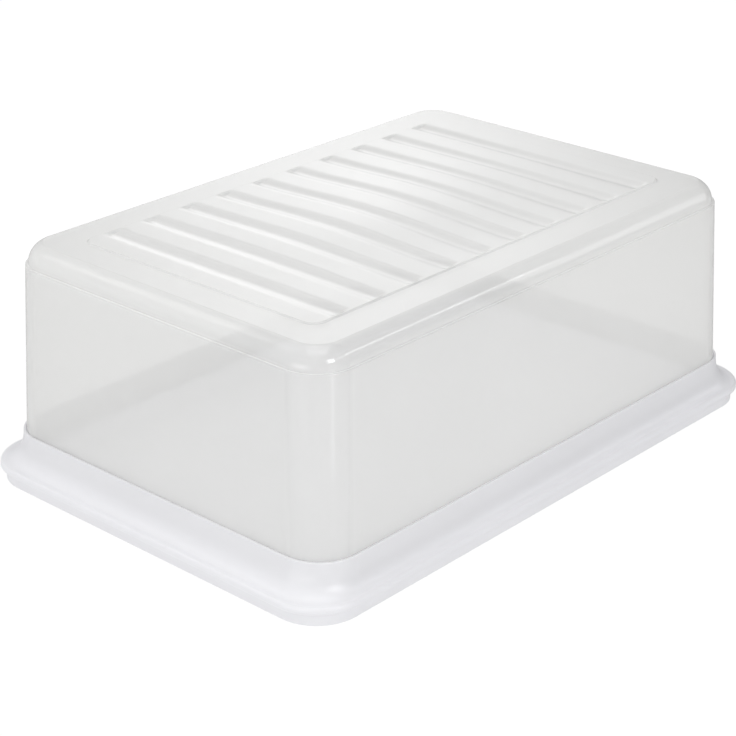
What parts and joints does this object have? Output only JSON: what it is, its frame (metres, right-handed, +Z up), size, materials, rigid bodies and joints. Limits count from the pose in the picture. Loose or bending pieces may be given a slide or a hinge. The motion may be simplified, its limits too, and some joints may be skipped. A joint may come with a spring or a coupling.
{
  "type": "food storage box",
  "caption": "Rectangular food keeper: a deep translucent plastic hood with a corrugated top panel, standing inside the raised rim of a shallow coved tray.",
  "frame": {"origin": "on the table, under the middle of the tray's foot", "axes": "+X along the long sides, +Y along the short sides, +Z up, the way the hood lifts"},
  "size_m": [0.398, 0.2722, 0.147],
  "materials": {
    "tray_plastic": "smooth, milky translucent, low gloss",
    "hood_plastic": "smooth, milky translucent, low gloss"
  },
  "bodies": {
    "tray": {"tray": "tray_plastic"},
    "hood": {"hood": "hood_plastic"}
  },
  "joints": [
    {"name": "hood_lift", "type": "slide", "parent": "tray", "child": "hood", "axis": [0, 0, 1], "range_m": [0, 0.15]}
  ]
}
